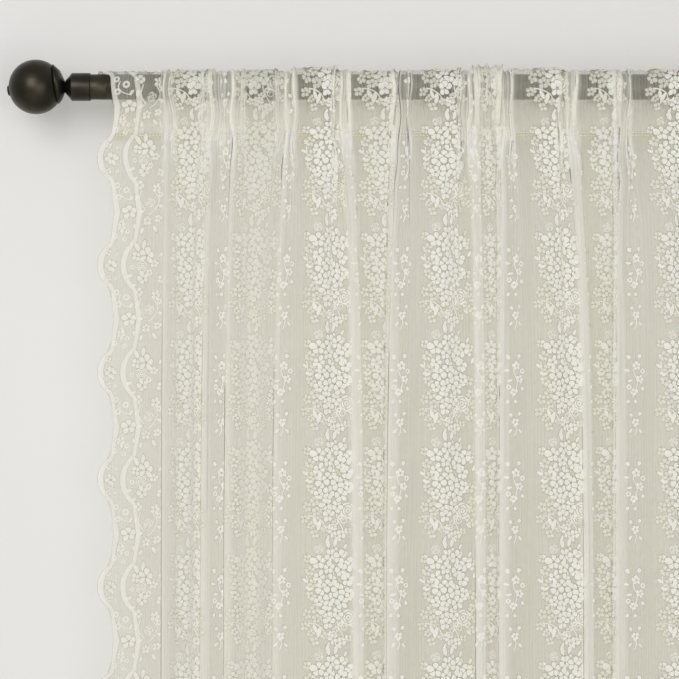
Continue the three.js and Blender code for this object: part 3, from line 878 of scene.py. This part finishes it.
# Sprigs between the bouquets, with the same rows
sprig = {
    "tall": {
        "daisies": [(1, 11, 5.4, 5, 30), (5, -2, 5.2, 5, 70), (-2, -15, 4.8, 4, 10)],
        "buds": [(-6, 17, 6.5, 5, 120), (3, 18, 6, 5, 70)],
        "leaves": [(-5, 6, 8, 3.6, 170), (-2, -3, 8, 3.6, 190)],
        "tips": [(7, -9, 5.4, 4.4, -70), (-7, -22, 5, 4, -110), (-1, -22, 5, 4, -70)],
        "rings": [(-7, -10), (8, 6)], "stem": [(0, 16), (-2, 6), (2, -6), (-3, -20)], "stemWidth": 1.3,
    },
    "small": {
        "daisies": [(0, 3, 5, 5, 45)], "buds": [(3, 9, 5.4, 4.4, 60), (-3, 8, 5, 4, 130)],
        "leaves": [(3, -3, 7.5, 3.4, -50), (-3, -3, 7, 3.4, -128)], "tips": [], "rings": [],
        "stem": [(0, 1), (1, -5), (-1, -11)], "stemWidth": 1.2,
    },
    "smallBelow": 48, "ringRadius": 2, "ringYarn": 2, "ringSides": 7, "stemSteps": 3,
}


def drawSprig(look):
    parts = grown(daisy, look["daisies"]) + grown(petal, look["buds"])
    parts += grown(leaf, look["leaves"]) + grown(petal, look["tips"])
    parts += [placed(ring(sprig["ringRadius"], sprig["ringYarn"], sprig["ringSides"]), x, y)
              for x, y in look["rings"]]
    return joined(parts + [ribbon(curveThrough(look["stem"], sprig["stemSteps"]), look["stemWidth"])])


def copies(source, places):
    # source drawn once at each (u, v, mirror) place on the flat cloth; y up becomes v down
    parts = []
    for u, v, mirror in places:
        part = placed(source, 0, 0, mirror=mirror)
        parts.append(drawing(part["points"] * [1, -1] + [u, v], part["lift"], part["rim"], part["faces"]))
    return joined(parts)


def workPiece(name, flat, material):
    points, faces = flat["points"], flat["faces"]
    margin = worked["inside"]
    inside = (points[:, 1] > clothTop + margin) & (points[:, 1] < dropBelowStitch - margin)
    inside &= (points[:, 0] > margin) & (points[:, 0] < clothWidth - margin)
    faces = faces[inside[faces].all(1)]
    used = np.unique(faces)
    renumber = np.zeros(len(points), int)
    renumber[used] = np.arange(len(used))
    points, lift, rim = points[used], flat["lift"][used], flat["rim"][used]
    u, v = points[:, 0], points[:, 1]
    hung = hang(u, v, lift + worked["offCloth"])
    # the painted rim shade fades where the cloth is folded up
    rim = rim * (1 - laceLook["outlineFade"] * steepness(u, v))
    piece = addMesh(name, hung, renumber[faces], material, uv=points * mm, marks={"rim": rim},
                    lean=softLean(u, v, laceLook["workSoftness"]))
    print(name, len(faces), "triangles")
    return piece


def centres(acrossOffset, downOffset, columns):
    rows = range(-repeat["spareRows"], int(dropBelowStitch / repeat["down"]) + repeat["spareRows"])
    return [(repeat["firstAcross"] + acrossOffset + repeat["across"] * column,
             repeat["firstDown"] + downOffset + repeat["down"] * row, False)
            for row in rows for column in columns]


bouquetFlowers, bouquetThin, bouquetRoses, bouquetLeaves = bouquetDrawings()
wholeBouquet = joined([bouquetFlowers, bouquetRoses, bouquetLeaves])
allColumns = range(repeat["columns"])
fullPlaces = centres(0, 0, [k for k in allColumns if k not in repeat["soft"] + repeat["faint"]])
lacePieces = [
    workPiece("bouquet_daisies", copies(bouquetFlowers, fullPlaces), motifMaterial),
    workPiece("bouquet_thin_daisies", copies(bouquetThin, centres(0, 0, allColumns)), thinMaterial),
    workPiece("bouquet_roses", copies(bouquetRoses, fullPlaces), motifMaterial),
    workPiece("bouquet_leaves", copies(bouquetLeaves, fullPlaces), motifMaterial),
    workPiece("soft_bouquets", copies(wholeBouquet, centres(0, 0, repeat["soft"])), softMaterial),
    workPiece("faint_bouquets", copies(wholeBouquet, centres(0, 0, repeat["faint"])), faintMaterial),
]
halfAcross = repeat["across"] / 2
betweenColumns = allColumns[:-1]
sprigs = joined([copies(drawSprig(sprig["tall"]), centres(halfAcross, 0, betweenColumns)),
                 copies(drawSprig(sprig["small"]), centres(halfAcross, sprig["smallBelow"], betweenColumns))])
lacePieces.append(workPiece("lace_sprigs", sprigs, motifMaterial))


# Scalloped border. Flowers are (distance in from the lobes' line, height above the lobe, radius,
# petals, turn); fromTop, endGap and lastGap keep the bands on the cloth
border = {
    "bandWidth": 7, "innerBandWidth": 6.4, "thinShare": 0.3, "innerAt": 30, "innerRadius": 31,
    "innerHalf": 24, "innerSlant": 0.16, "stepsPerScallop": 26, "outerAt": 1.2, "stemWidth": 1.4,
    "fromTop": 2, "endGap": 1.2, "lastGap": 1.1, "ringYarn": 0.7, "ringSides": 8,
    "flowers": [
        (17, 0, 7.4, 6, 0), (36, -53.5, 8.6, 5, 20), (28, 38, 5.4, 5, 60), (14, 13, 3.8, 4, 20),
        (14, -13, 3.8, 4, 60), (54, 10, 8.6, 5, 12), (50, -13, 7.4, 5, 40), (64, -30, 5.4, 5, 0),
        (54, -62, 5.4, 5, 20), (43, 9, 5, 4, 30), (62, 2, 5, 5, 10), (46, -27, 5.2, 4, 0),
        (70, -14, 4.6, 4, 30), (66, -60, 4.8, 5, 10),
    ],
    "roses": [(49, -1, 5.8, 20), (57, -44, 5, 0)],
    "rings": [
        (23, -27, 3.6), (33, -32, 3.8), (25, -39, 3.6), (34, 34, 2.8), (21, 29, 3.4), (31, 26, 2.6),
        (57, -7, 3.4), (68, -36, 3.2), (39, -2, 2.6), (22, -13, 2), (23, 11, 2),
    ],
    "leaves": [
        (47, 12, 14, 6, 118), (50, 14, 13, 5.6, 82), (41, -9, 10, 4.6, 200), (52, -52, 10, 4.4, -160),
        (60, -66, 10, 4.4, -60), (50, -68, 9, 4, -110), (64, -46, 11, 4.6, -20), (44, -36, 9, 4, -100),
        (28, -62, 8, 3.6, -60), (40, -64, 8, 3.6, -80), (70, -20, 9, 4, -50), (66, 8, 9, 4, 40),
        (44, -18, 8, 4, 210), (36, -43, 8, 3.6, 60),
    ],
    "stems": [
        [(27, -29), (26, -35), (31, -40), (38, -42)], [(27, 31), (30, 35), (26, 42), (33, 47)],
        [(62, -34), (66, -42), (61, -52), (56, -56)], [(48, -32), (46, -42), (52, -52)],
    ],
}


def innerBandAt(drop):
    return border["innerAt"] + lobed(fromLobe(drop), border["innerRadius"], border["innerHalf"],
                                     border["innerSlant"])


def bandSwell(line, whole):
    # bands are full at the lobes and notches, and thinner between them
    drops = line[:, 1]
    fullness = 0.5 + 0.5 * np.cos(4 * np.pi * fromLobe(drops) / edge["pitch"])
    return whole * (1 - border["thinShare"] * (1 - fullness))


def alongEdges(position):
    # the same line along the left edge and, mirrored, along the right one
    step = edge["pitch"] / border["stepsPerScallop"]
    bulge = drape["stitchZ"] - edge["firstBulgeZ"]
    first = bulge + step * math.ceil((clothTop + border["fromTop"] - bulge) / step)
    drops = np.arange(first, dropBelowStitch - border["endGap"], step)
    drops = np.append(drops, dropBelowStitch - border["lastGap"])
    left = np.column_stack([position(drops), drops])
    return left, left * [-1, 1] + [clothWidth, 0]


def makeBorder():
    bands = []
    for line in alongEdges(lambda drop: scallop(drop) + border["outerAt"] + border["bandWidth"] / 2):
        bands.append(ribbon(line, bandSwell(line, border["bandWidth"])))
    for line in alongEdges(innerBandAt):
        bands.append(ribbon(line, bandSwell(line, border["innerBandWidth"])))
    flowers = grown(daisy, border["flowers"]) + grown(rose, border["roses"])
    unit = joined(flowers + eyelets(border) + grown(leaf, border["leaves"]) + stems(border))
    bulge = drape["stitchZ"] - edge["firstBulgeZ"]
    rows = range(-repeat["spareRows"], int(dropBelowStitch / edge["pitch"]) + repeat["spareRows"])
    places = [(0, bulge + edge["pitch"] * row, False) for row in rows]
    places += [(clothWidth, bulge + edge["pitch"] * row, True) for row in rows]
    bandDrawing = joined(bands)
    bandDrawing["faces"] = bandDrawing["faces"][:, ::-1]
    return (workPiece("border_bands", bandDrawing, bandMaterial),
            workPiece("border_flowers", copies(unit, places), edgeMaterial))


lacePieces += makeBorder()

# Rows of stitches across the pocket and the hem
stitching = {"long": 2.8, "gap": 0.5, "wide": 0.9, "pocketRows": (0.6, 3.4), "hemRows": (26, 29),
             "sideMargin": 4, "lastMargin": 3}


def makeStitches():
    stitch = petal(stitching["long"], stitching["wide"], broad=0)
    pitch = stitching["long"] + stitching["gap"]
    rows = list(stitching["pocketRows"]) + [dropBelowStitch - rise for rise in stitching["hemRows"]]
    places = []
    for row in rows:
        margin = float(scallop(np.array([row]))[0]) + stitching["sideMargin"]
        end = clothWidth - margin - stitching["lastMargin"]
        places += [(u, row, False) for u in np.arange(margin, end, pitch)]
    return workPiece("seam_stitches", copies(stitch, places), edgeMaterial)


lacePieces.append(makeStitches())
for piece in [curtain, *lacePieces]:
    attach(piece, "root")
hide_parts("curtain_panel")
print("lace hung")


# Rod and finials

metalLook = {
    "rod": (colour(54, 51, 40), 0.4), "finial": (colour(47, 44, 36), 0.33), "metallic": 0.9,
    "wornGain": 1.7, "wornLift": 0.004, "smoother": 0.05, "rougher": 0.1, "turnedSides": 96,
    "toneSize": 45.0, "toneFine": 900.0, "toneFrom": 0.35, "toneTo": 0.75, "specular": 0.5,
    "bump": 0.08, "bumpDepth": 0.2,
}


def setTone(tree, shader, look, low, high):
    # slow change between two tones over a finely uneven surface; gives the fine unevenness
    tone = useGroup(tree, toneGroup, Size=look["toneSize"], Fine=look["toneFine"])
    base = ramp(tree, tone["Slow"], (look["toneFrom"], low), (look["toneTo"], high))
    tree.links.new(base, shader.inputs["Base Color"])
    shader.inputs["Specular IOR Level"].default_value = look["specular"]
    bump = addNode(tree, "ShaderNodeBump", Height=tone["Fine"], Strength=look["bump"],
                   Distance=look["bumpDepth"] * mm)
    tree.links.new(bump.outputs[0], shader.inputs["Normal"])
    return tone["Fine"]


def makeMetal(name, tone, roughness):
    material, tree, shader = startMaterial(name)
    worn = [min(1, channel * metalLook["wornGain"] + metalLook["wornLift"]) for channel in tone[:3]] + [1]
    fine = setTone(tree, shader, metalLook, tone, worn)
    shine = addNode(tree, "ShaderNodeMapRange", i0=fine, i3=roughness - metalLook["smoother"],
                    i4=roughness + metalLook["rougher"]).outputs[0]
    tree.links.new(shine, shader.inputs["Roughness"])
    shader.inputs["Metallic"].default_value = metalLook["metallic"]
    return material


rodMaterial = makeMetal("satinBlackRod", *metalLook["rod"])
finialMaterial = makeMetal("satinBlackFinial", *metalLook["finial"])


def turned(name, profile, centre, direction, material):
    # turns a profile of (distance along x, radius) round the x axis; ends close on the axis
    sides = metalLook["turnedSides"]
    angle = np.arange(sides) * 2 * math.pi / sides
    points = [np.column_stack([np.full(sides, along * direction), np.cos(angle) * radius,
                               np.sin(angle) * radius]) for along, radius in profile]
    points = np.concatenate(points) + [centre[0], centre[1], centre[2]]
    start = np.arange(len(profile) - 1)[:, None] * sides + np.arange(sides)[None, :]
    after = np.arange(len(profile) - 1)[:, None] * sides + (np.arange(sides)[None, :] + 1) % sides
    faces = np.column_stack([start.ravel(), after.ravel(), (after + sides).ravel(), (start + sides).ravel()])
    if direction < 0:
        faces = faces[:, ::-1]
    return addMesh(name, points, faces, material)


def boxOf(node):
    low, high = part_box(node)
    return low, high, (low + high) / 2


finial = {"bevel": 0.5, "endStep": 1.2, "taperLength": 6.8, "neckRadius": 6, "ballRings": 48, "droop": 8,
          "fitGap": 0.3, "rimAt": 20, "rimRadius": 20.2, "rimSteps": 8, "shoulderAt": 25,
          "shoulderRadius": 15, "cupEnd": 29, "bendLength": 9, "buttonHeight": 2, "buttonRadius": 5,
          "buttonBevel": 0.4, "grooveFromCollar": 16, "grooveWidth": 0.9, "grooveDepth": 0.35}
buttonDome = [(0, 1), (0.5, 1), (0.85, 0.8), (1, 0.4), (1, 0)]     # shares of its height and radius


def standFor(piece, node):
    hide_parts(node)
    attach(piece, "root")


def drooped(piece, centre, angleAt, direction=1):
    # turns each point about the ball's middle, by an angle that depends on how far along it stands
    for vertex in piece.data.vertices:
        x, z = vertex.co.x, vertex.co.z
        angle = angleAt(x)
        vertex.co.x = (x * math.cos(angle) + z * math.sin(angle)) * direction + centre.x
        vertex.co.z = -x * math.sin(angle) + z * math.cos(angle) + centre.z


def rounded(profile, radius, steps=4, sideShare=2.2):
    # rounds the corners of a profile, over at most 1 / sideShare of the shorter side
    result = [profile[0]]
    for a, b, c in zip(profile, profile[1:], profile[2:]):
        a, b, c = (np.array(p, float) for p in (a, b, c))
        reach = min(radius, np.linalg.norm(a - b) / sideShare, np.linalg.norm(c - b) / sideShare)
        p = b + (a - b) / np.linalg.norm(a - b) * reach
        q = b + (c - b) / np.linalg.norm(c - b) * reach
        for k in range(steps + 1):
            t = k / steps
            result.append(tuple((1 - t) ** 2 * p + 2 * t * (1 - t) * b + t ** 2 * q))
    return result + [profile[-1]]


def makeRod():
    low, high, middle = boxOf("rod")
    radius, end = (high.z - low.z) / 2, high.x
    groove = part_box("collar_right")[0].x - finial["grooveFromCollar"] * mm
    half, deep = finial["grooveWidth"] * mm / 2, finial["grooveDepth"] * mm
    right = [(groove - half, radius), (groove, radius - deep), (groove + half, radius),
             (end, radius), (end, 0)]
    left = [(-along, r) for along, r in reversed(right)]
    standFor(turned("rod_tube", left + right, (0, 0, middle.z), 1, rodMaterial), "rod")


def makeCollar(side, direction):
    low, high, _ = boxOf("collar_" + side)
    radius, length, neck = (high.z - low.z) / 2, high.x - low.x, finial["neckRadius"] * mm
    taperFrom = length - finial["taperLength"] * mm
    profile = [(0, radius - finial["endStep"] * mm), (0, radius), (taperFrom, radius), (length, neck),
               (length, 0)]
    start = high.x if direction < 0 else low.x
    return turned("finial_collar_" + side, rounded(profile, finial["bevel"] * mm), (start, 0, 0), direction,
                  finialMaterial)


def makeCup(side, direction, ballRadius, centre):
    # follows the ball's droop at its rim and stays square to the neck
    seat, steps = ballRadius + finial["fitGap"] * mm, finial["rimSteps"]
    rim = math.acos(finial["rimAt"] * mm / seat)
    inside = [(-seat * math.cos(rim * k / steps), seat * math.sin(rim * k / steps)) for k in range(steps + 1)]
    end, neck = finial["cupEnd"] * mm, finial["neckRadius"] * mm
    outside = [(-finial["rimAt"] * mm, finial["rimRadius"] * mm),
               (-finial["shoulderAt"] * mm, finial["shoulderRadius"] * mm), (-end, neck), (-end, 0)]
    cup = turned("finial_cup_" + side, inside + outside, (0, 0, 0), direction, finialMaterial)
    droop, bend = math.radians(finial["droop"]), finial["bendLength"] * mm
    drooped(cup, centre, lambda x: droop * min(1, max(0, (end - abs(x)) / bend)) * direction)
    return cup


def makeBall(side, direction, ballRadius, centre):
    rings = finial["ballRings"]
    arc = [(-ballRadius * math.cos(math.pi * k / rings), ballRadius * math.sin(math.pi * k / rings))
           for k in range(rings + 1)]
    return turned("finial_ball_" + side, arc, (centre.x, 0, centre.z), direction, finialMaterial)


def makeButton(side, direction, ballRadius, centre):
    height, radius = finial["buttonHeight"] * mm, finial["buttonRadius"] * mm
    seatAt = math.sqrt(ballRadius ** 2 - radius ** 2)
    cap = [(seatAt + height * up, radius * out) for up, out in buttonDome]
    button = turned("finial_button_" + side, rounded(cap, finial["buttonBevel"] * mm), (0, 0, 0), 1,
                    finialMaterial)
    drooped(button, centre, lambda x: math.radians(finial["droop"]), direction)
    return button


def makeFinial(side):
    direction = -1 if side == "left" else 1
    low, high, centre = boxOf("ball_" + side)
    ball = side, direction, (high.z - low.z) / 2, centre
    standFor(makeCollar(side, direction), "collar_" + side)
    standFor(makeBall(*ball), "ball_" + side)
    standFor(makeCup(*ball), "cup_" + side)
    standFor(makeButton(*ball), "button_" + side)


makeRod()
for side in ("left", "right"):
    makeFinial(side)
print("rod and finials made")


# Studio: floor, a wall that shows from the room side only, soft lights, camera

studio = {
    "wallBehind": 0.062, "wallTone": colour(232, 231, 228), "wallLow": colour(238, 237, 235),
    "wallReach": 2.6, "wallTop": 1.3,
    "floorBelowHem": 0.02, "floorTone": colour(226, 224, 220), "floorReach": 7,
    "toneSize": 1.2, "toneFine": 220.0, "toneFrom": 0.3, "toneTo": 0.7, "roughness": 0.9, "specular": 0.1,
    "bump": 0.05, "bumpDepth": 0.5,
    "worldTone": colour(236, 236, 238), "worldStrength": 0.56,
    "lights": [("keyLight", (-1.1, -2.8, 0.7), 1.6, 30), ("fillLight", (0.9, -2.9, -0.5), 2.2, 23)],
    "bounces": (32, 8, 14),     # through gaps, between folds, in all; stacked net goes black without them
    "aim": (-0.1, 0, -0.35), "cameraAt": (-0.1485, -2.8, -0.2525), "frameWidth": 0.679, "sensor": 36,
}


def makeStageMaterial(name, low, high, oneSided):
    material, tree, shader = startMaterial(name)
    setTone(tree, shader, studio, low, high)
    shader.inputs["Roughness"].default_value = studio["roughness"]
    if oneSided:
        clear = tree.nodes.new("ShaderNodeBsdfTransparent")
        side = tree.nodes.new("ShaderNodeNewGeometry").outputs["Backfacing"]
        mix = addNode(tree, "ShaderNodeMixShader", i0=side)
        tree.links.new(shader.outputs[0], mix.inputs[1])
        tree.links.new(clear.outputs[0], mix.inputs[2])
        tree.links.new(mix.outputs[0], tree.nodes["Material Output"].inputs["Surface"])
    return material


def makeStage():
    floorZ = hemZ * mm - studio["floorBelowHem"]
    wallY = studio["wallBehind"]
    floorMaterial = makeStageMaterial("paleFloor", studio["floorTone"], studio["wallTone"], False)
    wallMaterial = makeStageMaterial("paleWall", studio["wallTone"], studio["wallLow"], True)
    far, wide, top = studio["floorReach"], studio["wallReach"], studio["wallTop"]
    floor = [(-far, -far, floorZ), (far, -far, floorZ), (far, far, floorZ), (-far, far, floorZ)]
    wall = [(-wide, wallY, floorZ), (wide, wallY, floorZ), (wide, wallY, top), (-wide, wallY, top)]
    addMesh("stage_floor", floor, [(0, 1, 2, 3)], floorMaterial, flat=True)
    addMesh("stage_wall", wall, [(0, 1, 2, 3)], wallMaterial, flat=True)


def makeLights():
    world = bpy.data.worlds.new("studioWorld")
    world.use_nodes = True
    background = world.node_tree.nodes["Background"]
    background.inputs["Color"].default_value = studio["worldTone"]
    background.inputs["Strength"].default_value = studio["worldStrength"]
    bpy.context.scene.world = world
    for name, place, size, power in studio["lights"]:
        lamp = bpy.data.lights.new(name, "AREA")
        lamp.size, lamp.energy = size, power
        holder = bpy.data.objects.new(name, lamp)
        holder.location = place
        holder.rotation_euler = (Vector(studio["aim"]) - Vector(place)).to_track_quat("-Z", "Y").to_euler()
        holder.visible_camera = False
        bpy.context.scene.collection.objects.link(holder)


def makeCamera():
    camera = bpy.data.cameras.new("camera")
    camera.sensor_width = studio["sensor"]
    distance = -studio["cameraAt"][1]
    camera.lens = studio["sensor"] * distance / studio["frameWidth"]
    holder = bpy.data.objects.new("camera", camera)
    holder.location = studio["cameraAt"]
    holder.rotation_euler = (math.pi / 2, 0, 0)
    bpy.context.scene.collection.objects.link(holder)
    bpy.context.scene.camera = holder


makeStage()
makeLights()
makeCamera()
bpy.context.scene.view_settings.view_transform = "Standard"
rays = bpy.context.scene.cycles
rays.transparent_max_bounces, rays.diffuse_bounces, rays.max_bounces = studio["bounces"]
print("studio set")
